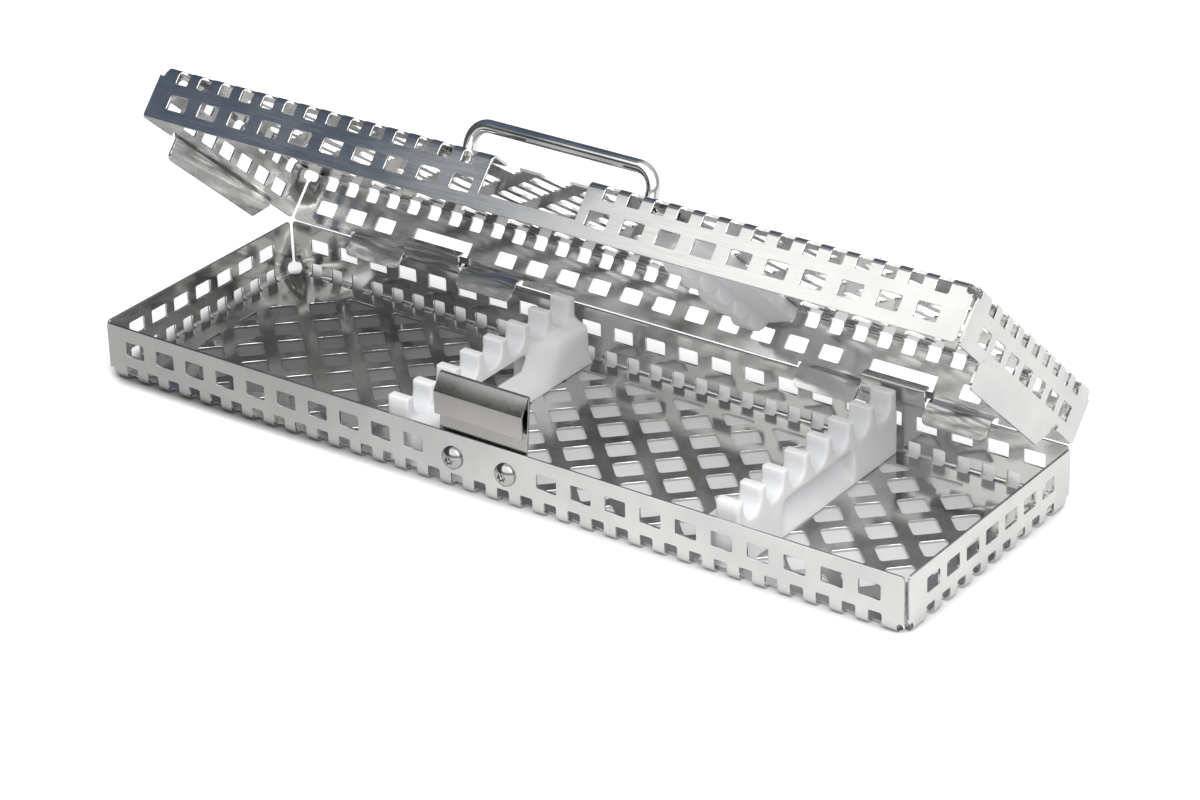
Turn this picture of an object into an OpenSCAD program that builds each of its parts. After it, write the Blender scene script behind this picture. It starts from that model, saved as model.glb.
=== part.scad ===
// Instrument cassette: a folded, perforated stainless tray with a hinged lid of the
// same sheet, a sprung front latch, two instrument racks, a hold-down comb and a wire handle.
// Millimetres. +X runs along the length, -Y is the front, +Z is up.
// The origin is the middle of the underside of the base.
// The lid is drawn closed and then turned about the hinge line to the open pose.

/* [Tray] */
// Outside length of the base and of the lid
tray_len = 288; // [180:1:420]
// Outside width of the base and of the lid
tray_wid = 89.4; // [70:0.2:160]
// Height of the base walls above the underside
base_h = 18; // [14:0.1:40]
// Height of the lid from its rim to its top
lid_h = 17; // [12:0.1:40]
// Thickness of the stainless sheet
sheet = 0.8; // [0.6:0.05:1.2]
// Outside radius of the folds at the bottom and the top
fold_r = 2.1; // [1.5:0.1:6]
// Gap between the two rims when the lid is closed
rim_gap = 0.3; // [0.1:0.1:2]
// Slit between two walls at a corner
corner_slit = 0.6; // [0.3:0.1:2]
// Radius of the round opening where two folds meet
corner_hole_r = 2.4; // [1:0.1:4]
// Radius of the free corners of the walls
wall_corner_r = 1; // [0.2:0.1:3]

/* [Openings in the sheet] */
// Pitch of the wall windows along the long sides
win_pitch = 12; // [9:0.1:20]
// Width of a wall window
win_w = 7.1; // [3:0.1:9]
// Height of a wall window
win_h = 4.7; // [2:0.1:9]
// Distance from the base's rim to the middle of a window
win_drop = 6.9; // [3:0.1:12]
// Distance from the lid's rim to the middle of a window
lid_win_drop = 6.2; // [3:0.1:12]
// Pitch of the windows in the end walls
end_win_pitch = 10.35; // [8:0.05:20]
// Width of a window in an end wall
end_win_w = 6.8; // [3:0.1:9]
// Corner radius of the windows and slots
hole_r = 0.5; // [0.2:0.1:1.5]
// Solid wall kept beside the last window
win_margin = 8; // [3:0.5:20]
// Pitch of the slots that cross the long folds
slot_pitch = 8.36; // [6:0.02:16]
// Pitch of the slots that cross the end folds
end_slot_pitch = 8.1; // [6:0.05:16]
// Width of a fold slot
slot_w = 4.3; // [2:0.1:6]
// Height that a fold slot climbs up the wall
slot_rise = 4.8; // [2:0.1:8]
// Distance that a fold slot runs in from the outside of the wall
slot_run = 2.5; // [2:0.1:12]
// Solid wall kept beside the last fold slot
slot_margin = 7; // [3:0.5:20]

/* [Lattice] */
// Pitch of the diamonds along the length
cell_x = 18; // [12:0.1:30]
// Pitch of the diamonds across the width
cell_y = 17.6; // [12:0.1:30]
// Half of a diamond's diagonal along the length
cell_hx = 6; // [3:0.1:8]
// Half of a diamond's diagonal across the width
cell_hy = 5.9; // [3:0.1:8]
// Corner radius of a diamond
cell_r = 0.9; // [0.2:0.1:2]
// Solid margin between the outside of a long wall and the lattice
lattice_side = 8.4; // [5:0.1:30]
// Solid margin between the outside of an end wall and the lattice
lattice_end = 10.7; // [6:0.1:40]
// Largest sum of a diamond's two distances from the middle, which leaves the corners solid
lattice_corner = 152; // [60:1:250]

/* [Rear hinge] */
// Distance from the middle of the tray to the middle of a hinge station
hinge_x = 85; // [40:0.5:120]
// Width of a base tab
tab_w = 21.5; // [10:0.1:40]
// Gap between a base tab and the lid tabs beside it
tab_gap = 0.7; // [0.2:0.05:1]
// Inward step of the tabs and flaps
step_in = 1.1; // [0.9:0.05:2]
// Height over which the sheet steps in
step_h = 1.5; // [0.8:0.1:4]
// Distance of a base tab's step below the base rim
step_drop = 0.1; // [0.05:0.05:1]
// Height of the top of a base tab's lip above the base rim
lip_rise = 5.3; // [4:0.1:10]
// Length of the lip behind the inside face of its tab
lip_run = 3.1; // [2:0.1:6]
// Centre-line radius of the lip's fold
lip_r = 0.8; // [0.6:0.1:2]
// Width of a lid tab
lid_tab_w = 21.5; // [8:0.1:40]
// Length of a lid tab below the lid's rim
lid_tab_drop = 6.6; // [3:0.1:12]
// Radius of the lower corners of tabs and flaps
tab_corner_r = 2; // [0.5:0.1:4]
// Width of the slot in the lid's rear wall
lid_slot_w = 22.1; // [10:0.1:42]
// Height of the strip between the lid's rim and that slot
strip_h = 3.4; // [2:0.1:6]
// Height of the slot in the lid's rear wall
lid_slot_h = 5; // [3:0.1:9]
// Hinge line in front of the outside of the rear wall
pivot_in = 0.1; // [0:0.05:1]
// Hinge line below the base rim
pivot_down = 0.4; // [0:0.05:1]
// Angle that the lid stands open in this pose
open_angle = 42.3; // [0:0.1:130]

/* [Lid flaps and cut-out] */
// Distance from the front of the lid to an end flap
flap_start = 18.3; // [8:0.1:40]
// Distance from the front of the lid to the back of an end flap
flap_end = 73.6; // [40:0.2:120]
// Length of an end flap below the lid's rim
flap_drop = 7; // [4:0.1:12]
// Run of the slanted back edge of an end flap
flap_slant = 5.7; // [1:0.1:12]
// Width of the relief beside a tab or flap
relief_w = 1.2; // [0.5:0.1:4]
// Height that the relief climbs above the rim
relief_h = 1.5; // [0.8:0.1:3]
// Width of the cut-out for the latch
cut_w = 34.2; // [20:0.1:60]
// Height of the strip below the cut-out
cut_strip = 4.7; // [3:0.1:8]
// Distance that the cut-out runs in from the front of the lid
cut_run = 8.6; // [5:0.1:12]

/* [Latch] */
// Width of the latch plate
latch_w = 31.4; // [16:0.2:50]
// Sideways offset of the latch plate
latch_shift = 0.6; // [-1.5:0.1:1.5]
// Thickness of the spring sheet
spring_t = 0.8; // [0.5:0.05:1.2]
// Height of the top fold above the base rim
hook_rise = 17.4; // [10:0.1:22]
// Centre-line radius of the top fold
hook_r = 0.5; // [0.45:0.05:1]
// Height of the sloping face
ramp_h = 5.2; // [2:0.1:8]
// Distance of the catch in front of the plate, at the base rim
ramp_run = 2; // [0.8:0.05:4]
// Inward lean of the plate between the base rim and the top fold
hook_tilt = 2; // [0:0.05:3]
// Inward lean of the hook between the flex line and the base rim
hook_lean = 0.45; // [0.1:0.05:1]
// Height of the catch edge above the base rim
catch_rise = 5.15; // [3:0.05:8]
// Gap between the moving plate and the front wall
hook_gap = 0.35; // [0.2:0.05:1]
// Height of the flex line above the underside
flex_z = 14.8; // [8:0.1:17]
// Gap between the clamped foot and the moving hook
flex_gap = 0.35; // [0.2:0.05:0.8]
// Height of the foot's lower edge above the underside
foot_z = 5; // [2:0.1:8]
// Height of the screws above the underside
screw_z = 10; // [5:0.1:12]
// Distance between the two screws
screw_pitch = 19; // [10:0.5:30]
// Radius of the screw thread
screw_r = 2; // [1:0.05:2.5]
// Radius of the button head
head_r = 3.6; // [2:0.1:5]
// Height of the button head
head_h = 2.3; // [1:0.1:3]
// Height of the straight rim under the button head's dome
head_rim = 0.6; // [0.1:0.1:1.5]
// Radius of the socket in the head
socket_r = 1.45; // [0.5:0.05:2]
// Depth of the socket in the head
socket_d = 1.3; // [0.4:0.1:2]
// Width of a nut across its flats
nut_af = 7; // [4:0.1:9]
// Height of a nut
nut_h = 3.2; // [1.5:0.1:4]
// Length of thread that stands out of a nut
thread_out = 0.7; // [0.2:0.1:2]
// Radial clearance of the screw holes
hole_clear = 0.05; // [0.02:0.01:0.3]

/* [Racks] */
// Width of a rack along the tray
rack_w = 13.5; // [10:0.1:30]
// Toothed edge of the left rack
rack_left_x = -35.5; // [-130:0.5:0]
// Toothed edge of the right rack
rack_right_x = 87.5; // [40:0.5:130]
// Gap between a rack and the long walls
rack_gap = 1.9; // [0.3:0.1:5]
// Height of the deck above the underside
deck_z = 14.8; // [9:0.1:20]
// Height of the tooth tips above the underside
tooth_z = 22; // [14:0.1:28]
// Number of teeth
tooth_n = 8; // [3:1:12]
// Pitch of the teeth
tooth_pitch = 11.35; // [7:0.05:20]
// Thickness of a tooth at its tip
tooth_t = 3.2; // [1.5:0.1:6]
// Length of a tooth along the tray
tooth_w = 7.5; // [4:0.1:12]
// Height of the beam's underside above the underside of the base
arch_z = 12.7; // [6:0.1:16]
// Half length of the arch under the toothed edge
arch_y = 18.6; // [8:0.1:30]
// Radius of the arch's upper corners
arch_r = 3; // [1:0.1:5]
// Height of the low bar's ridge above the underside
ridge_z = 8; // [3:0.1:10]
// Distance of that ridge from the toothed edge
ridge_u = 7; // [4:0.1:12]
// Half length of the open middle beside the ridge
eye_y = 13; // [6:0.1:30]
// Half length of the open middle at the rack's plain edge
ramp_y = 24; // [10:0.1:36]
// Lean of an end block's ramp between its foot and its top
ramp_lean = 3.6; // [0:0.1:8]
// Half width of a snap foot
plug_half = 3.2; // [1.5:0.1:5]

/* [Hold-down comb] */
// Left edge of the hold-down comb
comb_x = 31; // [10:0.5:60]
// Width of the hold-down comb
comb_w = 15; // [8:0.5:30]
// Distance from the front of the lid to the comb
comb_front = 18.1; // [16:0.1:40]
// Number of bumps
bump_n = 7; // [3:1:12]
// Height of the bump tips above the underside of the base, lid closed
bump_z = 22.7; // [17:0.1:28]
// Height of the bumps
bump_h = 5; // [2:0.1:8]
// Length of a bump along the tray
bump_w = 8; // [4:0.1:14]

/* [Handle] */
// Half of the distance between the handle's legs
grip_half = 32.35; // [20:0.5:60]
// Radius of the wire
wire_r = 2; // [1:0.1:3]
// Centre-line radius of the handle's bends
wire_bend = 6; // [3:0.1:10]
// Height of the grip above the pivot, along the legs
grip_rise = 13.3; // [10:0.1:40]
// Angle that the handle leans forward from the lid's normal
grip_lean = 21; // [0:0.5:24]
// Distance from the front of the lid to the pivot
pivot_y = 10.9; // [8:0.1:30]
// Gap between a pivot end and the lid above it
pin_drop = 0.6; // [0:0.1:2]
// Length of a pivot end of the wire
pin_len = 9; // [5:0.1:15]
// Centre-line radius of the bend into a pivot end
pin_bend = 3; // [2:0.1:6]
// Radial clearance of a pivot end in its clip
pin_clear = 0.08; // [0.03:0.01:0.1]
// Width of a clip along the wire
clip_w = 4.6; // [3:0.1:8]
// Length of a clip's welded foot
clip_foot = 2.6; // [1.5:0.1:5]
// Front clearance of a leg in its slot
leg_gap = 0.25; // [0.15:0.05:1]
// Angle that the handle can fall back from the lid's normal
grip_back = 45; // [10:1:60]

/* [Hidden] */
$fn = 48;
cut = 1;                       // run of a cutter past a face
half_l = tray_len / 2;
half_w = tray_wid / 2;
in_w = half_w - sheet;         // inside face of a long wall
rim_z = base_h + rim_gap;      // lid rim, closed
top_z = rim_z + lid_h;         // lid top, closed
pivot = [half_w - pivot_in, base_h - pivot_down];
step_z = base_h - step_drop - step_h;   // foot of a base tab's step
clip_t = sheet;
pin_z = top_z - sheet - pin_drop - wire_r - pin_clear;
pin_y = -half_w + pivot_y;
steel = [0.78, 0.78, 0.76];
milk = [0.93, 0.93, 0.94];

// Corner points of a rectangle with rounded corners, centred.
function round_rect(w, h, r, n = 3) = [for (c = [[1, 1, 0], [-1, 1, 90], [-1, -1, 180], [1, -1, 270]])
    for (i = [0 : n]) let (a = c[2] + 90 * i / n)
    [c[0] * (w / 2 - r) + r * cos(a), c[1] * (h / 2 - r) + r * sin(a)]];
// Corner points of a diamond with blunted corners.
function diamond(cx, cy, hx, hy, r) = let (l = norm([hx, hy]), m = r * (sqrt(2) - 1))
    [for (c = [[1, 0], [0, 1], [-1, 0], [0, -1]]) let (p = [c[0] * hx, c[1] * hy],
        q = [-c[1] * hx, c[0] * hy], s = [c[1] * hx, -c[0] * hy])
        for (v = [p + (s - p) * r / l, p * (1 - m / norm(p)), p + (q - p) * r / l]) [cx + v[0], cy + v[1]]];
// Part of a polygon where sgn * (lim - coordinate) is not negative.
function clip_poly(p, ax, lim, sgn) = [for (i = [0 : len(p) - 1])
    let (a = p[i], b = p[(i + 1) % len(p)], u = sgn * (lim - a[ax]), v = sgn * (lim - b[ax]))
    each concat(u >= 0 ? [a] : [], (u > 0 && v < 0) || (u < 0 && v > 0) ? [a + (b - a) * u / (u - v)] : [])];
function clip_box(p, bx, by) = let (a = clip_poly(p, 0, bx, 1))
    len(a) < 3 ? [] : let (b = clip_poly(a, 0, -bx, -1))
    len(b) < 3 ? [] : let (c = clip_poly(b, 1, by, 1))
    len(c) < 3 ? [] : clip_poly(c, 1, -by, -1);
function span(p, ax) = max([for (v = p) v[ax]]) - min([for (v = p) v[ax]]);
// Unit vector along a to b.
function unit(a, b) = (b - a) / norm(b - a);
function left_of(d) = [-d[1], d[0]];
// Point on one side of a bent sheet's centre line, mitred at its corners.
function side_pt(p, i, o) = let (n = len(p) - 1,
    d0 = i == 0 ? unit(p[0], p[1]) : unit(p[i - 1], p[i]),
    d1 = i == n ? unit(p[n - 1], p[n]) : unit(p[i], p[i + 1]),
    m = left_of(d0) + left_of(d1)) p[i] + m * (2 * o / (m * m));
// Outline of a bent sheet that follows a centre line.
function ribbon(p, t) = concat([for (i = [0 : len(p) - 1]) side_pt(p, i, t / 2)],
    [for (i = [len(p) - 1 : -1 : 0]) side_pt(p, i, -t / 2)]);
function arc(c, r, a0, a1, n = 6) = [for (i = [0 : n]) let (a = a0 + (a1 - a0) * i / n)
    c + r * [cos(a), sin(a)]];

// Prism along X with its outline given in (y, z).
module along_x(x0, x1) translate([x0, 0, 0]) rotate([90, 0, 90]) linear_extrude(x1 - x0) children();
// Prism along Y with its outline given in (x, z).
module along_y(y0, y1) translate([0, y1, 0]) rotate([90, 0, 0]) linear_extrude(y1 - y0) children();
// Turns the closed lid to its open pose.
module opened() translate([0, pivot[0], pivot[1]]) rotate([-open_angle, 0, 0])
    translate([0, -pivot[0], -pivot[1]]) children();

// A straight fold with a wall above it. The outside of the wall is at o.
module fold_profile(o, h) {
    translate([o - fold_r, fold_r]) intersection() {
        difference() { circle(r = fold_r); circle(r = fold_r - sheet); }
        translate([0, -fold_r]) square(fold_r);
    }
}
module wall_outline(w, h) polygon(concat(
    [[-w / 2, fold_r], [w / 2, fold_r]],
    arc([w / 2 - wall_corner_r, h - wall_corner_r], wall_corner_r, 0, 90, 3),
    arc([-w / 2 + wall_corner_r, h - wall_corner_r], wall_corner_r, 90, 180, 3)));

// Diamond lattice, cut through the sheet of the floor.
module lattice(skip) {
    bx = half_l - lattice_end;
    by = half_w - lattice_side;
    nx = ceil(bx / cell_x) + 1;
    ny = ceil(by / cell_y * 2) + 1;
    for (j = [-ny : ny], i = [-nx : nx]) {
        c = cell_at(i, j);
        p = clip_box(diamond(c[0], c[1], cell_hx, cell_hy, cell_r), bx, by);
        if (len(p) > 2 && abs(c[0]) + abs(c[1]) < lattice_corner)
            if (span(p, 0) > cell_hx / 2 && span(p, 1) > cell_hy / 2 && !hits(p, skip))
                translate([0, 0, -cut]) linear_extrude(sheet + 2 * cut) polygon(p);
    }
}
// Middle of a diamond: every second row is shifted by half a pitch.
function cell_at(i, j) = [(i + (abs(j) % 2) / 2) * cell_x, j * cell_y / 2];
// True where a polygon meets one of the boxes [x0, x1, y0, y1].
function hits(p, boxes) = max([0, for (b = boxes)
    min([for (v = p) v[0]]) < b[1] && max([for (v = p) v[0]]) > b[0] &&
    min([for (v = p) v[1]]) < b[3] && max([for (v = p) v[1]]) > b[2] ? 1 : 0]) > 0;

// Folded tray with its floor at the bottom. The skips leave out openings.
module folded_tray(h, drop, front_skip, rear_skip, slot_skip, floor_skip) {
    nw = floor((half_l - win_margin - win_w / 2) / win_pitch);
    ns = floor((half_l - slot_margin - slot_w / 2) / slot_pitch);
    ew = floor((half_w - win_margin - end_win_w / 2) / end_win_pitch);
    es = floor((half_w - slot_margin - slot_w / 2) / end_slot_pitch);
    fl = tray_len - 2 * fold_r;
    fw = tray_wid - 2 * fold_r;
    end_w = tray_wid - 2 * sheet - 2 * corner_slit;
    difference() {
        union() {
            translate([-fl / 2, -fw / 2, 0]) cube([fl, fw, sheet]);
            for (s = [0, 180]) rotate([0, 0, s]) {
                along_x(-fl / 2, fl / 2) fold_profile(half_w);
                along_y(half_w - sheet, half_w) wall_outline(tray_len - 2 * sheet - corner_slit, h);
                along_y(-fw / 2, fw / 2) fold_profile(half_l);
                rotate([0, 0, 90]) along_y(-half_l, -half_l + sheet) wall_outline(end_w, h);
            }
        }
        lattice(floor_skip);
        for (x = [-fl / 2, fl / 2], y = [-fw / 2, fw / 2])
            translate([x, y, fold_r]) sphere(r = corner_hole_r);
        for (i = [-nw : nw]) translate([i * win_pitch, 0, h - drop]) {
            y0 = abs(i) * win_pitch < front_skip ? 0 : -half_w - cut;
            y1 = abs(abs(i) * win_pitch - hinge_x) < rear_skip ? 0 : half_w + cut;
            if (y1 > y0) along_y(y0, y1) polygon(round_rect(win_w, win_h, hole_r));
        }
        for (i = [-ew : ew]) translate([0, i * end_win_pitch, h - drop])
            along_x(-half_l - cut, half_l + cut) polygon(round_rect(end_win_w, win_h, hole_r));
        for (i = [-ns : ns], s = [0, 180]) if (s == 0 || abs(i) * slot_pitch >= slot_skip)
            rotate([0, 0, s]) translate([i * slot_pitch, 0, 0]) fold_slot(half_w);
        for (i = [-es : es], s = [90, 270]) rotate([0, 0, s]) translate([i * end_slot_pitch, 0, 0])
            fold_slot(half_l);
    }
}
// Slot across the fold whose wall has its outside face at y = o.
module fold_slot(o) {
    along_y(o - fold_r - hole_r, o + cut) translate([0, slot_rise / 2 - cut / 2])
        polygon(round_rect(slot_w, slot_rise + cut, hole_r));
    translate([0, o - slot_run / 2, -cut]) linear_extrude(sheet + 2 * cut)
        polygon(round_rect(slot_w, slot_run, hole_r));
}

// Hinge tab that rises from the base's rear wall, steps in below the rim and ends in a lip.
module base_tab() {
    c = half_w - sheet / 2;
    lz = base_h + lip_rise - sheet / 2;
    along_x(-tab_w / 2, tab_w / 2) polygon(ribbon(concat(
        [[c, step_z - sheet], [c, step_z], [c - step_in, step_z + step_h]],
        arc([c - step_in + lip_r, lz - lip_r], lip_r, 180, 90),
        [[c - step_in - sheet / 2 + lip_run, lz]]), sheet));
}
module base_tray() color(steel) {
    difference() {
        folded_tray(base_h, win_drop, 2 * win_pitch, 0, 0, []);
        for (s = [-1, 1]) {
            translate([s * screw_pitch / 2, -half_w - cut, screw_z]) rotate([-90, 0, 0])
                cylinder(r = screw_r + hole_clear, h = sheet + 2 * cut);
            translate([s * hinge_x - tab_w / 2 - tab_gap, in_w - cut, step_z])
                cube([tab_w + 2 * tab_gap, sheet + 2 * cut, base_h]);
        }
    }
    for (s = [-1, 1]) translate([s * hinge_x, 0, 0]) base_tab();
}

// Centre line of a part that steps in from a wall and hangs below the lid's rim.
function hang_line(o, drop) = [[o, rim_z + relief_h + sheet], [o, rim_z + relief_h],
    [o - step_in, rim_z + relief_h - step_h], [o - step_in, rim_z - drop]];
module hang_outline(x0, x1, drop, slant) polygon(concat(
    [[x0, rim_z + 2 * relief_h], [x0, rim_z - drop + tab_corner_r]],
    arc([x0 + tab_corner_r, rim_z - drop + tab_corner_r], tab_corner_r, 180, 270, 4),
    slant > 0 ? [[x1 - slant, rim_z - drop], [x1, rim_z - drop + slant]] :
        arc([x1 - tab_corner_r, rim_z - drop + tab_corner_r], tab_corner_r, 270, 360, 4),
    [[x1, rim_z + 2 * relief_h]]));
module lid_tab(x0, x1) intersection() {
    along_x(x0, x1) polygon(ribbon(hang_line(half_w - sheet / 2, lid_tab_drop), sheet));
    along_y(0, half_w + cut) hang_outline(x0, x1, lid_tab_drop, 0);
}
module end_flap(y0, y1) intersection() {
    along_y(y0, y1) polygon(ribbon(hang_line(half_l - sheet / 2, flap_drop), sheet));
    along_x(0, half_l + cut) hang_outline(y0, y1, flap_drop, flap_slant);
}
module rim_relief(a0, a1, wall) {
    // wall is the outside face; a0 to a1 is the width of the tab
    translate([a0 - relief_w, wall - sheet - cut, rim_z - cut])
        cube([a1 - a0 + 2 * relief_w, sheet + 2 * cut, relief_h + cut]);
}
module lid_closed() {
    tab0 = tab_w / 2 + tab_gap;
    pad_half = (pin_len + wire_r) / 2 + 2 * sheet;
    pad_mid = grip_half + (pin_len - wire_r) / 2;
    pad_y = pin_y + 3 * wire_r + clip_foot;
    difference() {
        translate([0, 0, top_z]) mirror([0, 0, 1]) folded_tray(lid_h, lid_win_drop,
            2 * win_pitch, (lid_slot_w + win_w) / 2, (cut_w + slot_w) / 2 + sheet,
            [for (s = [-1, 1]) [s * pad_mid - pad_half, s * pad_mid + pad_half, -half_w, pad_y]]);
        for (s = [-1, 1]) {
            // slot for the lip, and relief beside and above the tabs
            translate([s * hinge_x - lid_slot_w / 2, in_w - cut, rim_z + strip_h])
                cube([lid_slot_w, sheet + 2 * cut, lid_slot_h]);
            for (q = [-1, 1]) translate([s * hinge_x + q * (tab0 + lid_tab_w / 2), 0, 0])
                rim_relief(-lid_tab_w / 2, lid_tab_w / 2, half_w);
            rotate([0, 0, s * 90]) rim_relief(s > 0 ? -half_w + flap_start : half_w - flap_end,
                s > 0 ? -half_w + flap_end : half_w - flap_start, half_l);
            // slot for a leg of the handle
            leg_slot(s);
        }
        // cut-out for the latch
        translate([-cut_w / 2, -half_w - cut, rim_z + cut_strip])
            cube([cut_w, cut_run + cut, lid_h]);
    }
    for (s = [-1, 1]) {
        for (q = [-1, 1]) translate([s * hinge_x + q * (tab0 + lid_tab_w / 2), 0, 0])
            lid_tab(-lid_tab_w / 2, lid_tab_w / 2);
    }
    end_flap(-half_w + flap_start, -half_w + flap_end);
    mirror([1, 0, 0]) end_flap(-half_w + flap_start, -half_w + flap_end);
}
module leg_slot(s) {
    rise = top_z - pin_z;
    front = rise * tan(grip_lean) + (wire_r + leg_gap) / cos(grip_lean);
    back = rise * tan(grip_back) + (wire_r + leg_gap) / cos(grip_back);
    translate([s * grip_half, pin_y + (back - front) / 2, top_z - sheet - cut])
        linear_extrude(sheet + 2 * cut) polygon(round_rect(2 * wire_r + 2 * leg_gap, front + back, hole_r));
}
module lid_tray() color(steel) opened() lid_closed();

// Spring latch: the part above the flex line.
module latch_hook() color(steel) {
    c = -in_w + hook_gap + spring_t / 2;
    ci = c + hook_lean;
    ct = ci + hook_tilt;
    zt = base_h + hook_rise;
    translate([latch_shift, 0, 0]) intersection() {
        along_x(-latch_w / 2, latch_w / 2) polygon(ribbon(concat(
            [[c, flex_z], [ci, base_h - sheet]],
            arc([ct - hook_r, zt - spring_t / 2 - hook_r], hook_r,
                0, 180 - atan((hook_tilt + ramp_run - 2 * hook_r) / ramp_h)),
            [[ci - ramp_run, zt - ramp_h], [ci - ramp_run, base_h + catch_rise]]), spring_t));
        along_y(-half_w - 3 * ramp_run, 0) translate([0, (zt + flex_z) / 2])
            polygon(round_rect(latch_w, zt - flex_z + 2 * spring_t, hole_r));
    }
}
// Spring latch: the part that the screws clamp to the front wall.
module latch_foot() color(steel) difference() {
    h = flex_z - flex_gap - foot_z;
    along_y(-in_w, -in_w + spring_t) translate([latch_shift, foot_z + h / 2])
        polygon(round_rect(latch_w, h, hole_r));
    for (s = [-1, 1]) translate([s * screw_pitch / 2, -in_w - cut, screw_z]) rotate([-90, 0, 0])
        cylinder(r = screw_r + hole_clear, h = spring_t + 2 * cut);
}
module latch_screws() color(steel) for (s = [-1, 1]) translate([s * screw_pitch / 2, -half_w, screw_z])
    rotate([90, 0, 0]) difference() {
        dome = head_h - head_rim;
        ball = (head_r * head_r + dome * dome) / (2 * dome);
        union() {
            cylinder(r = head_r, h = head_rim);
            intersection() {
                cylinder(r = head_r, h = head_h);
                translate([0, 0, head_h - ball]) sphere(r = ball, $fn = 64);
            }
            translate([0, 0, -sheet - spring_t - nut_h - thread_out])
                cylinder(r = screw_r, h = sheet + spring_t + nut_h + thread_out + head_rim);
        }
        translate([0, 0, head_h - socket_d]) cylinder(r = socket_r, h = socket_d + cut, $fn = 6);
    }
module latch_nuts() color(steel) for (s = [-1, 1])
    translate([s * screw_pitch / 2, -in_w + spring_t, screw_z]) rotate([-90, 30, 0]) difference() {
        cylinder(r = nut_af / sqrt(3), h = nut_h, $fn = 6);
        translate([0, 0, -cut]) cylinder(r = screw_r, h = nut_h + 2 * cut);
    }

// Comb outline in (y, z): round-bottomed notches between the teeth.
module tooth_outline(hy) {
    r = (tooth_pitch - tooth_t) / 2;
    y0 = -tooth_pitch * (tooth_n - 1) / 2;
    hw = min(hy, -y0 + tooth_t / 2);
    difference() {
        translate([-hw, deck_z - sheet]) square([2 * hw, tooth_z - deck_z + sheet]);
        for (i = [0 : tooth_n - 2]) translate([y0 + (i + 0.5) * tooth_pitch, deck_z + r]) {
            circle(r = r);
            translate([-r, 0]) square([2 * r, tooth_z]);
        }
    }
}
// Arch outline in (y, z), open at the bottom.
module arch_outline(hy, z) {
    translate([-hy, -cut]) square([2 * hy, z - arch_r + cut]);
    translate([-hy + arch_r, -cut]) square([2 * hy - 2 * arch_r, z + cut]);
    for (s = [-1, 1]) translate([s * (hy - arch_r), z - arch_r]) circle(r = arch_r);
}
// Snap feet that drop into the lattice under a rack's end blocks.
module plugs(x0, x1) for (j = [-3, 3], i = [-9 : 9]) {
    c = cell_at(i, j);
    if (c[0] - plug_half > x0 && c[0] + plug_half < x1) translate([c[0], c[1], sheet / 4])
        linear_extrude(sheet) polygon(diamond(0, 0, plug_half, plug_half, cell_r));
}
// Space in front of one end block's ramp. The ramp's foot runs from the ridge to the plain edge.
module ramp_space() {
    du = rack_w - ridge_u;
    dy = ramp_y - eye_y;
    h = deck_z - sheet;
    n = 8;
    translate([ridge_u, eye_y, 0]) rotate([0, 0, atan(dy / du)]) along_x(-2 * ramp_y, 2 * ramp_y)
        polygon(concat([[-4 * ramp_y, 0], [-ramp_lean / 2, 0]],
            [for (i = [0 : n]) [-ramp_lean / 2 * cos(180 * i / n), sheet + h * i / n]],
            [[ramp_lean / 2, tooth_z], [-4 * ramp_y, tooth_z]]));
}
// A rack: teeth on a beam at u = 0, a low ridged bar, and an end block at each wall.
module rack() {
    hy = in_w - rack_gap;
    difference() {
        translate([0, -hy, sheet]) cube([rack_w, 2 * hy, deck_z - sheet]);
        // under the arch, outside the ridge
        intersection() {
            along_x(-cut, ridge_u) arch_outline(arch_y, arch_z);
            along_y(-arch_y, arch_y) polygon([[-cut, sheet], [0, sheet], [ridge_u, ridge_z],
                [ridge_u, arch_z], [-cut, arch_z]]);
        }
        // open middle between the beam and the plain edge
        intersection() {
            ramp_space();
            mirror([0, 1, 0]) ramp_space();
            along_y(-hy, hy) polygon([[ridge_u - sheet / 2, ridge_z], [ridge_u, ridge_z], [rack_w, sheet],
                [rack_w + cut, sheet], [rack_w + cut, tooth_z], [tooth_w, tooth_z], [tooth_w, arch_z],
                [ridge_u - sheet / 2, arch_z]]);
        }
    }
    along_x(0, tooth_w) tooth_outline(hy);
}
module rack_left() color(milk) {
    translate([rack_left_x, 0, 0]) rack();
    plugs(rack_left_x, rack_left_x + rack_w);
}
module rack_right() color(milk) {
    translate([rack_right_x, 0, 0]) rotate([0, 0, 180]) rack();
    plugs(rack_right_x - rack_w, rack_right_x);
}

// Hold-down comb under the lid's top.
module hold_down_comb() color(milk) opened() {
    hy = in_w - rack_gap - sheet;
    yf = -half_w + comb_front;
    zt = top_z - sheet;
    y0 = -tooth_pitch * (bump_n - 1) / 2;
    zb = bump_z + bump_h;
    along_y(yf, hy) polygon([[comb_x, zb], [comb_x + bump_w, zb], [comb_x + comb_w, zb + bump_h / 2],
        [comb_x + comb_w, zt], [comb_x, zt]]);
    along_x(comb_x, comb_x + bump_w) intersection() {
        for (i = [0 : bump_n - 1]) translate([y0 + i * tooth_pitch, zb]) half_oval(tooth_pitch / 2, bump_h);
        translate([yf, zb - bump_h]) square([hy - yf, bump_h + cut]);
    }
}
// Half oval below the origin, with a strip above it that sinks into the bar.
module half_oval(rx, ry) polygon(concat([for (i = [0 : 12]) let (a = 180 + 180 * i / 12)
    [rx * cos(a), ry * sin(a)]], [[rx, cut], [-rx, cut]]));

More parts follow.
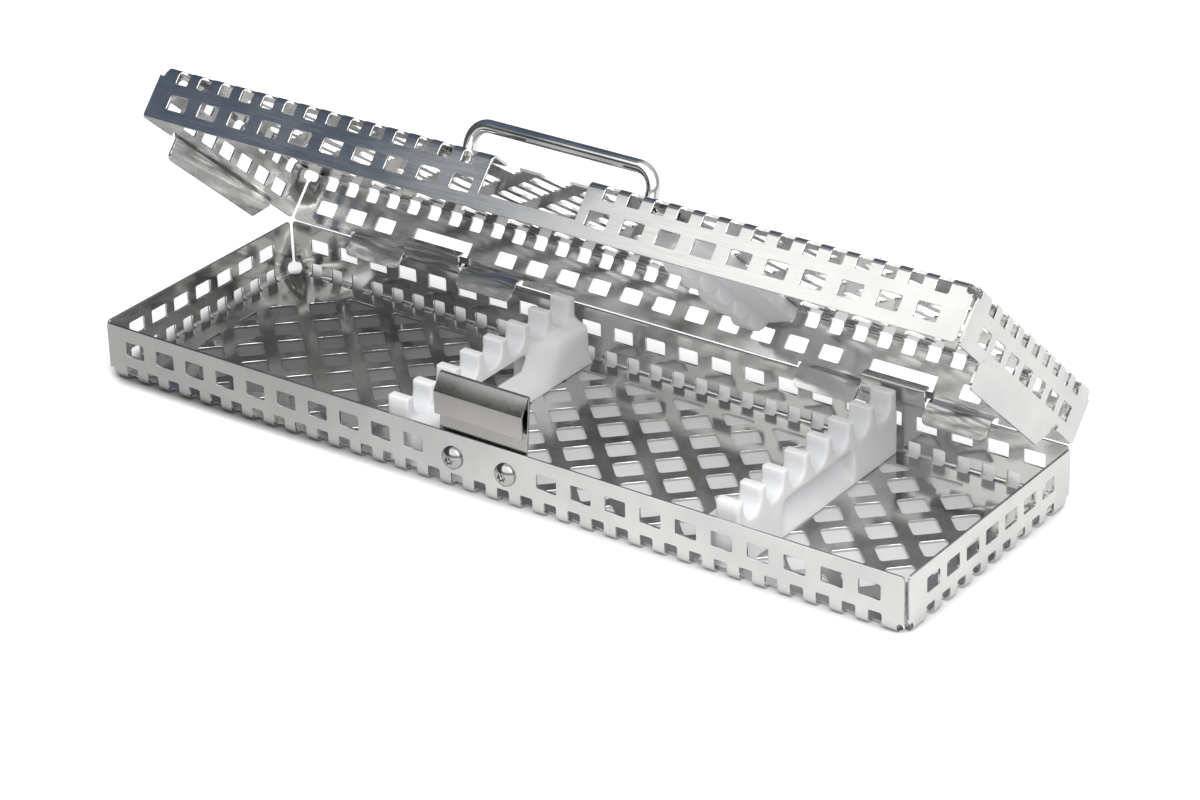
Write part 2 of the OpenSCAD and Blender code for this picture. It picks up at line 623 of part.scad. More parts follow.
// Clips that hold the handle's ends under the lid's top.
module handle_clips() color(steel) opened() for (s = [-1, 1]) {
    r = wire_r + pin_clear;
    x0 = s * (grip_half + pin_bend + wire_r / 2);
    x1 = x0 + s * clip_w;
    along_x(min(x0, x1), max(x0, x1)) translate([pin_y, pin_z]) {
        difference() {
            union() {
                circle(r = r + clip_t);
                translate([-r - clip_t, 0]) square([2 * (r + clip_t), r + pin_drop]);
                translate([-r - clip_t - clip_foot, r + pin_drop - clip_t])
                    square([2 * (r + clip_t + clip_foot), clip_t]);
            }
            circle(r = r);
            translate([-r, 0]) square([2 * r, r + pin_drop + cut]);
        }
    }
}
// Bent wire handle. Local z runs along the legs, from the pivot.
module wire_path() {
    for (s = [-1, 1]) {
        // leg
        translate([s * grip_half, 0, pin_bend]) cylinder(r = wire_r, h = grip_rise - pin_bend - wire_bend);
        // upper bend
        translate([s * (grip_half - wire_bend), 0, grip_rise - wire_bend]) rotate([90, 0, 0])
            rotate([0, 0, s > 0 ? 0 : 90]) rotate_extrude(angle = 90)
            translate([wire_bend, 0]) circle(r = wire_r);
        // lower bend into the pivot end
        translate([s * (grip_half + pin_bend), 0, pin_bend]) rotate([90, 0, 0])
            rotate([0, 0, s > 0 ? 180 : 270]) rotate_extrude(angle = 90)
            translate([pin_bend, 0]) circle(r = wire_r);
        translate([s * (grip_half + pin_bend), 0, 0]) rotate([0, s * 90, 0])
            cylinder(r = wire_r, h = pin_len - pin_bend);
    }
    translate([-grip_half + wire_bend, 0, grip_rise]) rotate([0, 90, 0])
        cylinder(r = wire_r, h = 2 * (grip_half - wire_bend));
}
module wire_handle() color(steel) opened() translate([0, pin_y, pin_z]) rotate([grip_lean, 0, 0])
    wire_path();

base_tray();
rack_left();
rack_right();
latch_foot();
latch_screws();
latch_nuts();
latch_hook();
lid_tray();
hold_down_comb();
handle_clips();
wire_handle();
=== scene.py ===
"""Dental instrument cassette: perforated stainless base and lid, white racks, sprung latch, wire handle.

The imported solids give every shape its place. This script rounds their edges, gives each
piece its finish and lights the set as a plain studio. Lengths are metres, in the row's frame.
"""

import logging
import math
from dataclasses import dataclass, field
from enum import Enum
from typing import Optional, Sequence

import bpy
import numpy as np
from mathutils import Matrix, Quaternion, Vector

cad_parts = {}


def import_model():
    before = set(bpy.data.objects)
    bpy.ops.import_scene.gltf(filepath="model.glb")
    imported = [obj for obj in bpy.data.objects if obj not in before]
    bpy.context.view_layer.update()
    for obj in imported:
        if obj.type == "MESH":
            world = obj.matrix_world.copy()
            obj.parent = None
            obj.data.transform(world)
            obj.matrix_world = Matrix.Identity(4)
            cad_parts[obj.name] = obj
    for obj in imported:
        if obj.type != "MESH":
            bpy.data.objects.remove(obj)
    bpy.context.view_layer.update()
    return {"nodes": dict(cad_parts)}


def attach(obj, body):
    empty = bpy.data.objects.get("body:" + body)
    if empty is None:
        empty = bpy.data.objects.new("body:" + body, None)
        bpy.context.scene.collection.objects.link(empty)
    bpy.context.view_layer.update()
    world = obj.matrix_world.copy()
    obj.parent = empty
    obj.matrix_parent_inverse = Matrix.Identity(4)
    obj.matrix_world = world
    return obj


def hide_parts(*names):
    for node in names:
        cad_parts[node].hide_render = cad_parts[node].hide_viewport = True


MM = 0.001
NODE_STEP = 180.0
LOG = logging.getLogger("cassette")

Colour = tuple[float, float, float]


class Grain(Enum):
    """Which way the rolling or brushing lines of a sheet run."""

    ALONG = (0.03, 1.0, 1.0)
    UPRIGHT = (1.0, 1.0, 0.04)
    NONE = (1.0, 1.0, 1.0)


class Edge(Enum):
    """How round a piece's sharp edges are, in metres."""

    SHEET = 0.00009
    FASTENER = 0.0002


# Node helpers.


class Wires:
    """A short way to lay out shader nodes in one tree."""

    def __init__(self, tree: bpy.types.NodeTree) -> None:
        """Keeps the tree.

        Args:
            tree: the node tree that new nodes go into.
        """
        self.tree = tree
        self.column = 0

    def add(self, kind: str, inputs: Optional[dict] = None, **settings: object) -> bpy.types.Node:
        """Adds a node.

        Args:
            kind: the node's type name.
            inputs: socket name or number to a value or an output socket to link from.
            settings: attributes of the node, such as operation or data_type.

        Returns:
            The new node.
        """
        node = self.tree.nodes.new(kind)
        node.location = (self.column * NODE_STEP, 0.0)
        self.column += 1
        for name, value in settings.items():
            setattr(node, name, value)
        for name, value in (inputs or {}).items():
            self.feed(node.inputs[name], value)
        return node

    def feed(self, socket: bpy.types.NodeSocket, value: object) -> None:
        """Links an output to a socket, or sets the socket's value.

        Args:
            socket: the input socket to fill.
            value: an output socket, or a plain value.
        """
        if isinstance(value, bpy.types.NodeSocket):
            self.tree.links.new(value, socket)
        else:
            socket.default_value = value

    def math(self, operation: str, *values: object) -> bpy.types.NodeSocket:
        """Adds a Math node and returns its output."""
        return self.add("ShaderNodeMath", dict(enumerate(values)), operation=operation).outputs[0]

    def product(self, *values: object) -> bpy.types.NodeSocket:
        """Multiplies values from left to right.

        Args:
            values: two or more numbers or sockets.

        Returns:
            The product's socket.
        """
        total = values[0]
        for value in values[1:]:
            total = self.math("MULTIPLY", total, value)
        return total

    def ramp(
        self, value: object, low: float, high: float, out_low: float = 0.0, out_high: float = 1.0
    ) -> bpy.types.NodeSocket:
        """Eases a value from one range into another.

        Args:
            value: the number or socket to read.
            low: the value that gives out_low.
            high: the value that gives out_high.
            out_low: the first result.
            out_high: the last result.

        Returns:
            The result's socket.
        """
        inputs = {"Value": value, "From Min": low, "From Max": high, "To Min": out_low, "To Max": out_high}
        node = self.add("ShaderNodeMapRange", inputs, interpolation_type="SMOOTHSTEP")
        return node.outputs["Result"]

    def blend(self, share: object, first: object, second: object) -> bpy.types.NodeSocket:
        """Mixes two colours.

        Args:
            share: how much of the second colour shows.
            first: a colour or a socket.
            second: a colour or a socket.

        Returns:
            The mixed colour's socket.
        """
        node = self.add("ShaderNodeMix", {"Factor": share}, data_type="RGBA")
        self.feed(node.inputs[6], opaque(first))
        self.feed(node.inputs[7], opaque(second))
        return node.outputs[2]

    def relief(self, height: object, strength: float, depth: float) -> bpy.types.NodeSocket:
        """Turns a height into a bumped normal.

        Args:
            height: the socket with the height.
            strength: how much of the bump shows.
            depth: the bump's depth in metres.

        Returns:
            The normal's socket.
        """
        inputs = {"Height": height, "Strength": strength, "Distance": depth}
        return self.add("ShaderNodeBump", inputs).outputs[0]


def opaque(value: object) -> object:
    """Gives a colour its fourth number.

    Args:
        value: a colour, or a socket, which is passed on.

    Returns:
        The colour with four numbers, or the socket.
    """
    if isinstance(value, tuple) and len(value) == 3:
        return (*value, 1.0)
    return value


def fresh_tree(owner: object) -> Wires:
    """Empties the node tree of a material or a world.

    Args:
        owner: the material or the world.

    Returns:
        The node helper of its tree.
    """
    owner.use_nodes = True
    owner.node_tree.nodes.clear()
    return Wires(owner.node_tree)


# Shared effects.


class Effect:
    """A shader node group that several finishes share."""

    name = "effect"

    def __init__(self) -> None:
        """Makes the group with its sockets and fills it."""
        self.group = bpy.data.node_groups.new(self.name, "ShaderNodeTree")
        self.wires = Wires(self.group)
        self.sockets()
        self.entry = self.wires.add("NodeGroupInput")
        self.exit = self.wires.add("NodeGroupOutput")
        self.fill()

    def socket(self, name: str, way: str, kind: str = "NodeSocketFloat", value: object = None) -> None:
        """Adds an input or output socket to the group.

        Args:
            name: the socket's name.
            way: INPUT or OUTPUT.
            kind: the socket's type name.
            value: what it holds until something is set.
        """
        made = self.group.interface.new_socket(name=name, in_out=way, socket_type=kind)
        if value is not None:
            made.default_value = value

    def sockets(self) -> None:
        """Names the group's inputs and outputs."""
        raise NotImplementedError

    def fill(self) -> None:
        """Adds the group's nodes."""
        raise NotImplementedError

    def place(self, wires: Wires, inputs: dict) -> bpy.types.Node:
        """Puts the group into a material.

        Args:
            wires: the material's node helper.
            inputs: values for the group's inputs.

        Returns:
            The group node.
        """
        node = wires.tree.nodes.new("ShaderNodeGroup")
        node.node_tree = self.group
        for name, value in inputs.items():
            wires.feed(node.inputs[name], value)
        return node


class RolledGrain(Effect):
    """Fine lines left in sheet by rolling and brushing, and slow clouds from polishing."""

    name = "rolled_grain"
    lines = {"Detail": 3.0, "Roughness": 0.6}
    clouds = {"Detail": 4.0, "Roughness": 0.55}
    line_band = (0.3, 0.7)
    cloud_band = (0.35, 0.65)

    def sockets(self) -> None:
        """Takes a place, a stretch and a fineness; gives lines, clouds and a height."""
        self.socket("Place", "INPUT", "NodeSocketVector")
        self.socket("Stretch", "INPUT", "NodeSocketVector", (1.0, 1.0, 1.0))
        self.socket("Fineness", "INPUT", value=2600.0)
        self.socket("Cloud Size", "INPUT", value=45.0)
        self.socket("Lines", "OUTPUT")
        self.socket("Clouds", "OUTPUT")
        self.socket("Height", "OUTPUT")

    def fill(self) -> None:
        """Lines are stretched noise; clouds are plain noise."""
        w = self.wires
        given = self.entry.outputs
        pair = {0: given["Place"], 1: given["Stretch"]}
        drawn = w.add("ShaderNodeVectorMath", pair, operation="MULTIPLY")
        fine = {"Vector": drawn.outputs[0], "Scale": given["Fineness"], **self.lines}
        lines = w.add("ShaderNodeTexNoise", fine)
        wide = {"Vector": given["Place"], "Scale": given["Cloud Size"], **self.clouds}
        clouds = w.add("ShaderNodeTexNoise", wide)
        w.feed(self.exit.inputs["Lines"], w.ramp(lines.outputs[0], *self.line_band))
        w.feed(self.exit.inputs["Clouds"], w.ramp(clouds.outputs[0], *self.cloud_band))
        w.feed(self.exit.inputs["Height"], lines.outputs[0])


class MouldedSkin(Effect):
    """The faint orange-peel and clouding of a thick white moulding."""

    name = "moulded_skin"
    peel = {"Detail": 2.0}
    clouds = {"Detail": 3.0}
    cloud_band = (0.35, 0.65)

    def sockets(self) -> None:
        """Takes a place and two scales; gives clouds and a height."""
        self.socket("Place", "INPUT", "NodeSocketVector")
        self.socket("Peel", "INPUT", value=900.0)
        self.socket("Cloud Size", "INPUT", value=70.0)
        self.socket("Clouds", "OUTPUT")
        self.socket("Height", "OUTPUT")

    def fill(self) -> None:
        """Both outputs are noise at their own scale."""
        w = self.wires
        given = self.entry.outputs
        fine = {"Vector": given["Place"], "Scale": given["Peel"], **self.peel}
        peel = w.add("ShaderNodeTexNoise", fine)
        wide = {"Vector": given["Place"], "Scale": given["Cloud Size"], **self.clouds}
        clouds = w.add("ShaderNodeTexNoise", wide)
        w.feed(self.exit.inputs["Clouds"], w.ramp(clouds.outputs[0], *self.cloud_band))
        w.feed(self.exit.inputs["Height"], peel.outputs[0])


@dataclass
class Effects:
    """The node groups, built once."""

    grain: RolledGrain = field(default_factory=RolledGrain)
    skin: MouldedSkin = field(default_factory=MouldedSkin)


# Finishes.


@dataclass(frozen=True)
class SteelFinish:
    """Stainless steel with a rolled, brushed or polished surface."""

    name: str
    colour: Colour = (0.64, 0.635, 0.625)
    shade: Colour = (0.57, 0.57, 0.565)
    gloss: float = 0.1
    dull: float = 0.16
    grain: Grain = Grain.ALONG
    fineness: float = 2600.0
    line_share: float = 0.6
    cloud_share: float = 0.4
    bump: float = 0.004
    bump_depth: float = 0.0001

    def make(self, effects: Effects) -> bpy.types.Material:
        """Builds the material.

        Args:
            effects: the shared node groups.

        Returns:
            The new material.
        """
        material, w, shader = blank_material(self.name)
        place = w.add("ShaderNodeTexCoord").outputs["Object"]
        grain = effects.grain.place(
            w, {"Place": place, "Stretch": self.grain.value, "Fineness": self.fineness}
        )
        w.feed(shader.inputs["Base Color"], w.blend(grain.outputs["Clouds"], self.shade, self.colour))
        lines = w.math("MULTIPLY", grain.outputs["Lines"], self.line_share)
        mixed = w.math("MULTIPLY_ADD", grain.outputs["Clouds"], self.cloud_share, lines)
        w.feed(shader.inputs["Roughness"], w.ramp(mixed, 0.0, 1.0, self.gloss, self.dull))
        w.feed(shader.inputs["Normal"], w.relief(grain.outputs["Height"], self.bump, self.bump_depth))
        shader.inputs["Metallic"].default_value = 1.0
        return material


@dataclass(frozen=True)
class MilkyPlastic:
    """White engineering plastic that lets a little light through."""

    name: str
    colour: Colour = (0.82, 0.825, 0.84)
    shade: Colour = (0.79, 0.795, 0.81)
    gloss: float = 0.42
    dull: float = 0.5
    bump: float = 0.08
    bump_depth: float = 0.0001
    soak_share: float = 0.35
    soak_colours: Colour = (1.0, 1.0, 1.1)
    soak_depth: float = 0.003

    def make(self, effects: Effects) -> bpy.types.Material:
        """Builds the material.

        Args:
            effects: the shared node groups.

        Returns:
            The new material.
        """
        material, w, shader = blank_material(self.name)
        place = w.add("ShaderNodeTexCoord").outputs["Object"]
        skin = effects.skin.place(w, {"Place": place})
        w.feed(shader.inputs["Base Color"], w.blend(skin.outputs["Clouds"], self.shade, self.colour))
        rough = w.ramp(skin.outputs["Clouds"], 0.0, 1.0, self.gloss, self.dull)
        w.feed(shader.inputs["Roughness"], rough)
        w.feed(shader.inputs["Normal"], w.relief(skin.outputs["Height"], self.bump, self.bump_depth))
        shader.inputs["Subsurface Weight"].default_value = self.soak_share
        shader.inputs["Subsurface Radius"].default_value = self.soak_colours
        shader.inputs["Subsurface Scale"].default_value = self.soak_depth
        return material


def blank_material(name: str) -> tuple[bpy.types.Material, Wires, bpy.types.Node]:
    """Starts a material.

    Args:
        name: the material's name.

    Returns:
        The material, its node helper and its Principled shader.
    """
    material = bpy.data.materials.new(name)
    w = fresh_tree(material)
    shader = w.add("ShaderNodeBsdfPrincipled")
    w.add("ShaderNodeOutputMaterial", {"Surface": shader.outputs[0]})
    return material, w, shader


# Pieces.

WELD_GAP = 0.002 * MM
FLAT_ANGLE = 0.5
SMOOTH_SHARE = 0.5


def dress(piece: bpy.types.Object, material: bpy.types.Material) -> None:
    """Gives a piece one material."""
    piece.data.materials.clear()
    piece.data.materials.append(material)


def soften(piece: bpy.types.Object, edge: Edge, smooth_angle: float = 35.0) -> None:
    """Rounds a sheet or fastener's sharp edges with modifiers.

    Args:
        piece: the mesh object.
        edge: how round the corners are.
        smooth_angle: the angle in degrees under which two faces shade as one.
    """
    piece.data.shade_smooth()
    weld = piece.modifiers.new("join", "WELD")
    weld.merge_threshold = WELD_GAP
    flat = piece.modifiers.new("flatten", "DECIMATE")
    flat.decimate_type = "DISSOLVE"
    flat.angle_limit = math.radians(FLAT_ANGLE)
    bevel = piece.modifiers.new("edge", "BEVEL")
    bevel.width = edge.value
    bevel.segments = 1
    bevel.limit_method = "ANGLE"
    bevel.angle_limit = math.radians(smooth_angle)
    bevel.use_clamp_overlap = False
    bevel.harden_normals = False
    split = piece.modifiers.new("crease", "EDGE_SPLIT")
    split.split_angle = math.radians(smooth_angle)


def melt(piece: bpy.types.Object, voxel: float, passes: int) -> None:
    """Rounds a moulding all over.

    Args:
        piece: the mesh object.
        voxel: the size of the remeshing grid.
        passes: how often the surface is smoothed.
    """
    remesh = piece.modifiers.new("skin", "REMESH")
    remesh.mode = "VOXEL"
    remesh.voxel_size = voxel
    remesh.use_smooth_shade = True
    smooth = piece.modifiers.new("round", "SMOOTH")
    smooth.factor = SMOOTH_SHARE
    smooth.iterations = passes


@dataclass
class Tray:
    """A folded, perforated sheet: the base or the lid."""

    node: str
    edge: Edge = Edge.SHEET

    def build(self, nodes: dict, sheet: bpy.types.Material) -> list[str]:
        """Dresses the tray's node.

        Args:
            nodes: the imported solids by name.
            sheet: the sheet's material.

        Returns:
            The names of the pieces.
        """
        piece = nodes[self.node]
        soften(piece, self.edge)
        dress(piece, sheet)
        return [piece.name]


@dataclass(frozen=True)
class Rack:
    """One toothed rack: its node, its toothed edge and the way its deck lies from there."""

    node: str
    edge_x: float
    way: float
    body: str = "base"


@dataclass
class Mouldings:
    """The white racks and the comb under the lid.

    A rack's toothed beam is beam_width wide. The deck behind it is eased deck_passes times,
    more and more over blend_width, and less toward its foot on the tray's floor.
    """

    racks: Sequence[Rack] = (Rack("rack_left", -35.5 * MM, 1.0), Rack("rack_right", 87.5 * MM, -1.0))
    comb: str = "hold_down_comb"
    slot: str = "rack_plastic"
    voxel: float = 0.4 * MM
    passes: int = 12
    deck_passes: int = 200
    beam_width: float = 7.5 * MM
    blend_width: float = 2.5 * MM
    foot_height: float = 2.0 * MM

    def build(self, nodes: dict, plastic: bpy.types.Material) -> list[str]:
        """Rounds and dresses each moulding.

        Args:
            nodes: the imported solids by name.
            plastic: the moulding's material.

        Returns:
            The names of the pieces.
        """
        melt(nodes[self.comb], self.voxel, self.passes)
        dress(nodes[self.comb], plastic)
        made = [self.comb]
        for rack in self.racks:
            skin = self.cast(nodes[rack.node])
            self.ease(skin.data, rack)
            dress(skin, plastic)
            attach(skin, rack.body)
            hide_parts(rack.node)
            made.append(skin.name)
        return made

    def cast(self, piece: bpy.types.Object) -> bpy.types.Object:
        """Copies a solid as an even, lightly rounded skin.

        Args:
            piece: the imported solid, which stays as it is.

        Returns:
            The new object.
        """
        melt(piece, self.voxel, self.passes)
        graph = bpy.context.evaluated_depsgraph_get()
        mesh = bpy.data.meshes.new_from_object(piece.evaluated_get(graph))
        piece.modifiers.clear()
        skin = bpy.data.objects.new(piece.name + "_skin", mesh)
        skin.matrix_world = piece.matrix_world.copy()
        bpy.context.scene.collection.objects.link(skin)
        return skin

    def ease(self, mesh: bpy.types.Mesh, rack: Rack) -> None:
        """Rounds a rack's end blocks and ramps far more than its teeth.

        Args:
            mesh: the rack's skin.
            rack: where the rack's deck lies.
        """
        place = np.empty(3 * len(mesh.vertices))
        mesh.vertices.foreach_get("co", place)
        place = place.reshape(-1, 3)
        ends = np.empty(2 * len(mesh.edges), dtype=np.int64)
        mesh.edges.foreach_get("vertices", ends)
        first, second = ends.reshape(-1, 2).T
        near = np.concatenate([first, second])
        far = np.concatenate([second, first])
        count = np.maximum(np.bincount(near, minlength=len(place)), 1)
        past = (place[:, 0] - rack.edge_x) * rack.way - self.beam_width
        deck = np.clip(past / self.blend_width, 0.0, 1.0)
        raised = np.clip(place[:, 2] / self.foot_height - 0.5, 0.0, 1.0)
        pull = SMOOTH_SHARE * deck * raised
        for _ in range(self.deck_passes):
            for axis in range(3):
                total = np.bincount(near, weights=place[far, axis], minlength=len(place))
                place[:, axis] += pull * (total / count - place[:, axis])
        mesh.vertices.foreach_set("co", place.ravel())
        mesh.update()


@dataclass
class Latch:
    """The spring sheet with its screws and nuts."""

    springs: Sequence[str] = ("latch_foot", "latch_hook")
    fasteners: Sequence[str] = ("latch_screws", "latch_nuts")
    fold_angle: float = 22.0

    def build(self, nodes: dict, spring: bpy.types.Material, screw: bpy.types.Material) -> list[str]:
        """Dresses the latch's nodes.

        Args:
            nodes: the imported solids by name.
            spring: the spring sheet's material.
            screw: the fasteners' material.

        Returns:
            The names of the pieces.
        """
        for name in self.springs:
            soften(nodes[name], Edge.SHEET, self.fold_angle)
            dress(nodes[name], spring)
        for name in self.fasteners:
            soften(nodes[name], Edge.FASTENER)
            dress(nodes[name], screw)
        return [*self.springs, *self.fasteners]


@dataclass
class Handle:
    """The wire handle and its clips."""

    grip: str = "wire_handle"
    clips: str = "handle_clips"

    def build(self, nodes: dict, wire: bpy.types.Material, spring: bpy.types.Material) -> list[str]:
        """Dresses the handle and its clips.

        Args:
            nodes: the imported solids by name.
            wire: the wire's material.
            spring: the clips' material.

        Returns:
            The names of the pieces.
        """
        for name, material in ((self.grip, wire), (self.clips, spring)):
            soften(nodes[name], Edge.SHEET)
            dress(nodes[name], material)
        return [self.grip, self.clips]


# Studio.


@dataclass
class Floor:
    """A pale floor, white to the camera, that keeps its shadows, with a painted shadow beneath the base.

    Each pair of colours goes from the left to the right between two places along the length, darker at the
    left: painted falloff of the light from the right.
    """

    size: float = 6.0
    height: float = -0.05 * MM
    # Painted light falloff: the floor colour the camera sees, darker toward the left.
    painted_camera_falloff: tuple[Colour, Colour] = ((0.72, 0.72, 0.715), (0.95, 0.95, 0.95))
    painted_camera_falloff_span: tuple[float, float] = (-0.35, 0.3)
    # Painted light falloff for every other ray, which the metal mirrors: darker toward the left.
    painted_indirect_falloff: tuple[Colour, Colour] = ((0.56, 0.56, 0.555), (0.97, 0.97, 0.97))
    painted_indirect_falloff_span: tuple[float, float] = (-0.12, 0.06)
    # Painted shadow beneath the base, darker at the left, with a soft rim.
    painted_shadow: tuple[Colour, Colour] = ((0.16, 0.16, 0.16), (0.7, 0.7, 0.7))
    painted_shadow_span: tuple[float, float] = (-0.1, 0.03)
    footprint: tuple[float, float] = (0.288, 0.0894)
    inset: float = 10.0 * MM
    painted_shadow_rim: tuple[float, float] = (8.5 * MM, 16.0 * MM)
    # How far and how finely ambient occlusion dims the camera glow: a painted contact shadow.
    shelter_reach: float = 0.12
    shelter_rays: int = 8
    shelter_span: tuple[float, float] = (0.28, 0.66)
    glow: float = 0.45

    def build(self) -> None:
        """Makes the floor."""
        half = self.size / 2
        z = self.height
        edge = [(-half, -half, z), (half, -half, z), (half, half, z), (-half, half, z)]
        mesh = bpy.data.meshes.new("studio_floor")
        mesh.from_pydata(edge, [], [(0, 1, 2, 3)])
        floor = bpy.data.objects.new("studio_floor", mesh)
        bpy.context.scene.collection.objects.link(floor)
        mesh.materials.append(self.paint())

    def paint(self) -> bpy.types.Material:
        """Makes the floor's paint: diffuse, with a painted shadow beneath the base, painted light falloff
        toward the left, and a glow that only the camera sees.

        Returns:
            The new material.
        """
        material = bpy.data.materials.new("white_floor")
        w = fresh_tree(material)
        seen = w.add("ShaderNodeLightPath").outputs["Is Camera Ray"]
        spot = w.add("ShaderNodeSeparateXYZ")
        w.feed(spot.inputs[0], w.add("ShaderNodeTexCoord").outputs["Object"])
        # Painted shadow: the floor is painted dark beneath the base's footprint.
        clear_of_painted_shadow = self.clear_of_painted_shadow(w, spot.outputs[0], spot.outputs[1])
        painted_shadow = w.blend(w.ramp(spot.outputs[0], *self.painted_shadow_span), *self.painted_shadow)
        # Painted light falloff toward the left, one for the camera and one for every other ray.
        painted_camera_falloff = w.blend(w.ramp(spot.outputs[0], *self.painted_camera_falloff_span), *self.painted_camera_falloff)
        painted_indirect_falloff = w.blend(w.ramp(spot.outputs[0], *self.painted_indirect_falloff_span), *self.painted_indirect_falloff)
        # Beneath the base the painted shadow; elsewhere the camera sees its painted falloff and every
        # other ray its own.
        colour = w.blend(clear_of_painted_shadow, painted_shadow, w.blend(seen, painted_indirect_falloff, painted_camera_falloff))
        paint = w.add("ShaderNodeBsdfDiffuse", {"Color": colour})
        # The camera-only glow fades where ambient occlusion finds the floor sheltered and is cut beneath
        # the base: a painted contact shadow.
        reach = {"Distance": self.shelter_reach}
        shelter = w.add("ShaderNodeAmbientOcclusion", reach, samples=self.shelter_rays)
        open_sky = w.ramp(shelter.outputs["AO"], *self.shelter_span)
        strength = w.product(open_sky, clear_of_painted_shadow, seen, self.glow)
        glow = w.add("ShaderNodeEmission", {"Strength": strength})
        total = w.add("ShaderNodeAddShader", {0: paint.outputs[0], 1: glow.outputs[0]})
        w.add("ShaderNodeOutputMaterial", {"Surface": total.outputs[0]})
        return material

    def clear_of_painted_shadow(
        self, w: Wires, x: bpy.types.NodeSocket, y: bpy.types.NodeSocket
    ) -> bpy.types.NodeSocket:
        """Finds how far a place lies beyond the base's rounded footprint, where the painted shadow ends.

        Args:
            w: the paint's node helper.
            x: the place along the length.
            y: the place along the width.

        Returns:
            A mask of the painted shadow: 0 beneath the base, where the floor is painted dark, and 1 clear
                of it.
        """
        squares = []
        for side, length in zip((x, y), self.footprint):
            reach = w.math("ABSOLUTE", side)
            past = w.math("MAXIMUM", w.math("SUBTRACT", reach, length / 2 - self.inset), 0.0)
            squares.append(w.math("POWER", past, 2.0))
        return w.ramp(w.math("SQRT", w.math("ADD", *squares)), *self.painted_shadow_rim)


@dataclass
class Room:
    """What the metal mirrors: a soft box at the right and a dark side at the left.

    A turn is an angle in degrees round the upright, 0 at the front and positive to the left.
    A rise is the sine of the angle above the floor. The box and the dark side meet along a
    line that leans to the left as it rises.
    """

    wall_low: Colour = (0.45, 0.45, 0.45)
    wall_high: Colour = (0.68, 0.68, 0.68)
    wall_rise: tuple[float, float] = (0.0, 0.9)
    meet_turn: tuple[float, float] = (47.0, 51.0)
    meet_rise: float = 0.68
    meet_lean: float = 60.0
    box_colour: Colour = (1.6, 1.6, 1.58)
    box_turn: tuple[float, float] = (-110.0, -80.0)
    box_rise: tuple[float, float] = (0.28, 0.34)
    dark_low: Colour = (0.1, 0.102, 0.098)
    dark_high: Colour = (0.105, 0.135, 0.19)
    dark_change: tuple[float, float] = (0.42, 0.58)
    dark_turn: tuple[float, float] = (165.0, 140.0)
    dark_rise: tuple[float, float] = (0.95, 0.8)
    backdrop: Colour = (1.0, 1.0, 1.0)

    def build(self) -> None:
        """Makes the surroundings, which are plain white to the camera."""
        world = bpy.data.worlds.new("studio_room")
        bpy.context.scene.world = world
        w = fresh_tree(world)
        axes = w.add("ShaderNodeSeparateXYZ")
        w.feed(axes.inputs[0], w.add("ShaderNodeTexCoord").outputs["Generated"])
        x, y, z = axes.outputs
        turn = w.math("ARCTAN2", w.math("MULTIPLY", x, -1.0), w.math("MULTIPLY", y, -1.0))
        lean = math.radians(self.meet_lean)
        edge = w.math("MULTIPLY_ADD", z, -lean, w.math("ADD", turn, self.meet_rise * lean))
        first, last = [math.radians(angle) for angle in self.meet_turn]
        wall = w.blend(w.ramp(z, *self.wall_rise), self.wall_low, self.wall_high)
        box = w.product(
            w.ramp(edge, last, first), self.round_turn(w, turn, self.box_turn), w.ramp(z, *self.box_rise)
        )
        left = w.product(
            w.ramp(edge, first, last), self.round_turn(w, turn, self.dark_turn), w.ramp(z, *self.dark_rise)
        )
        dark = w.blend(w.ramp(z, *self.dark_change), self.dark_low, self.dark_high)
        shown = w.blend(left, w.blend(box, wall, self.box_colour), dark)
        seen = w.add("ShaderNodeLightPath").outputs["Is Camera Ray"]
        sky = w.add("ShaderNodeBackground", {"Color": w.blend(seen, shown, self.backdrop)})
        w.add("ShaderNodeOutputWorld", {"Surface": sky.outputs[0]})

    def round_turn(
        self, w: Wires, turn: bpy.types.NodeSocket, span: tuple[float, float]
    ) -> bpy.types.NodeSocket:
        """Eases a mask from 0 to 1 between two turns in degrees."""
        return w.ramp(turn, math.radians(span[0]), math.radians(span[1]))


@dataclass
class Lamp:
    """One wide, weak lamp at the right."""

    name: str = "key_box"
    place: Sequence[float] = (0.75, -0.35, 1.1)
    aim: Sequence[float] = (0.0, 0.0, 0.0)
    side: float = 1.0
    power: float = 9.0

    def build(self) -> None:
        """Hangs the lamp."""
        data = bpy.data.lights.new(self.name, "AREA")
        data.shape = "SQUARE"
        data.size = self.side
        data.energy = self.power
        lamp = bpy.data.objects.new(self.name, data)
        lamp.location = self.place
        lamp.rotation_euler = facing(self.place, self.aim).to_euler()
        bpy.context.scene.collection.objects.link(lamp)


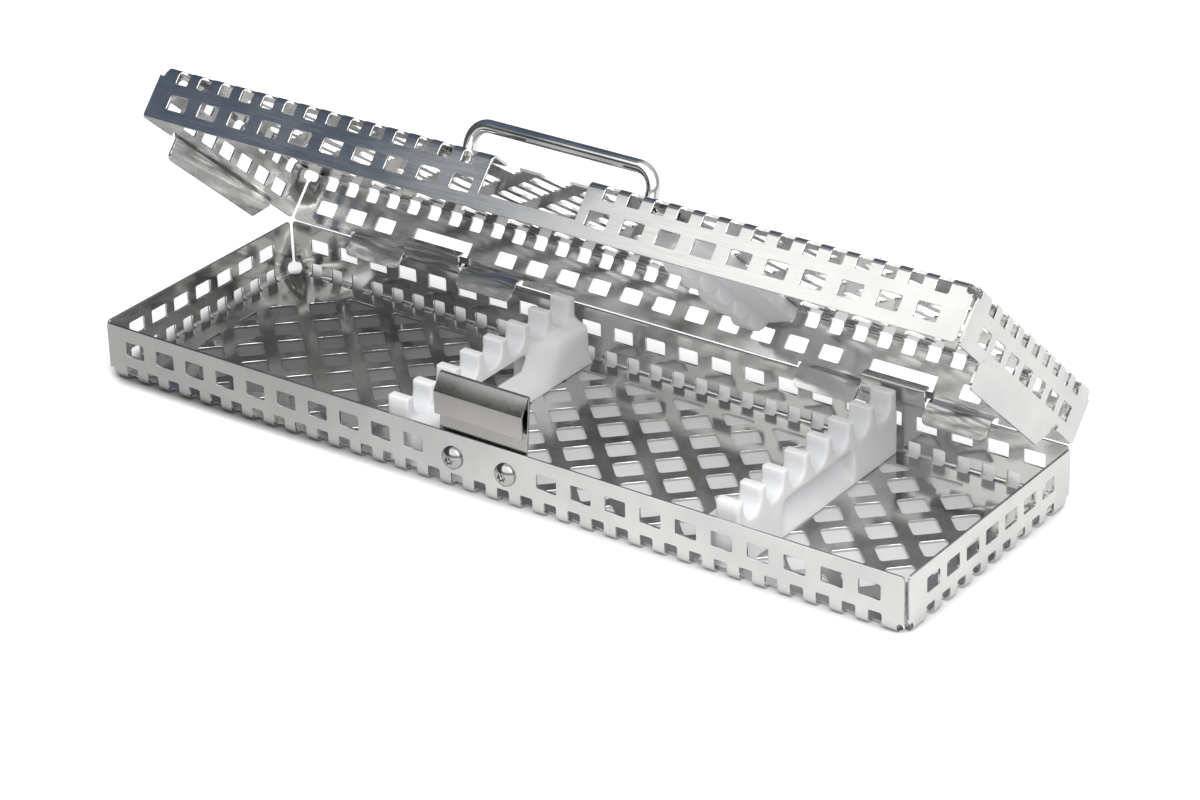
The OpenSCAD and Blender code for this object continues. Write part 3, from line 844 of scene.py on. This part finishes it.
@dataclass
class Camera:
    """A long lens from the front right above."""

    place: Sequence[float] = (0.59663, -0.79363, 0.52300)
    aim: Sequence[float] = (0.01951, -0.01155, 0.0225)
    roll: float = -1.6256
    lens: float = 113.405
    sensor: float = 36.0
    nearest: float = 0.05
    farthest: float = 50.0

    def build(self) -> None:
        """Sets up the camera."""
        data = bpy.data.cameras.new("camera")
        data.sensor_fit = "HORIZONTAL"
        data.sensor_width = self.sensor
        data.lens = self.lens
        data.clip_start = self.nearest
        data.clip_end = self.farthest
        camera = bpy.data.objects.new("camera", data)
        look = facing(self.place, self.aim).to_matrix().to_4x4()
        roll = Matrix.Rotation(math.radians(self.roll), 4, "Z")
        camera.matrix_world = Matrix.Translation(Vector(self.place)) @ look @ roll
        bpy.context.scene.collection.objects.link(camera)
        bpy.context.scene.camera = camera


def facing(place: Sequence[float], aim: Sequence[float]) -> Quaternion:
    """Turns a lamp or a camera at a place toward a point."""
    return (Vector(aim) - Vector(place)).to_track_quat("-Z", "Y")


def main() -> None:
    """Builds the cassette's looks and the set."""
    logging.basicConfig(level=logging.INFO, format="%(message)s")
    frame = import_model()
    nodes = frame["nodes"]
    effects = Effects()
    sheet = SteelFinish("rolled_sheet").make(effects)
    spring = SteelFinish(
        "brushed_spring",
        colour=(0.48, 0.47, 0.455),
        shade=(0.44, 0.43, 0.415),
        grain=Grain.UPRIGHT,
        gloss=0.14,
        dull=0.22,
    ).make(effects)
    screw = SteelFinish(
        "screw_steel",
        colour=(0.48, 0.48, 0.47),
        shade=(0.42, 0.42, 0.415),
        gloss=0.08,
        dull=0.12,
        grain=Grain.NONE,
    ).make(effects)
    wire = SteelFinish("polished_wire", gloss=0.07, dull=0.11, colour=(0.8, 0.8, 0.79)).make(effects)
    plastic = MilkyPlastic("milky_plastic").make(effects)
    made = []
    made += Tray("base_tray").build(nodes, sheet)
    made += Tray("lid_tray").build(nodes, sheet)
    made += Mouldings().build(nodes, plastic)
    made += Latch().build(nodes, spring, screw)
    made += Handle().build(nodes, wire, spring)
    for name in made:
        LOG.info("piece %s", name)
    for part in (Floor(), Room(), Lamp(), Camera()):
        part.build()
    bpy.context.scene.view_settings.view_transform = "Standard"


if __name__ == "__main__":
    main()
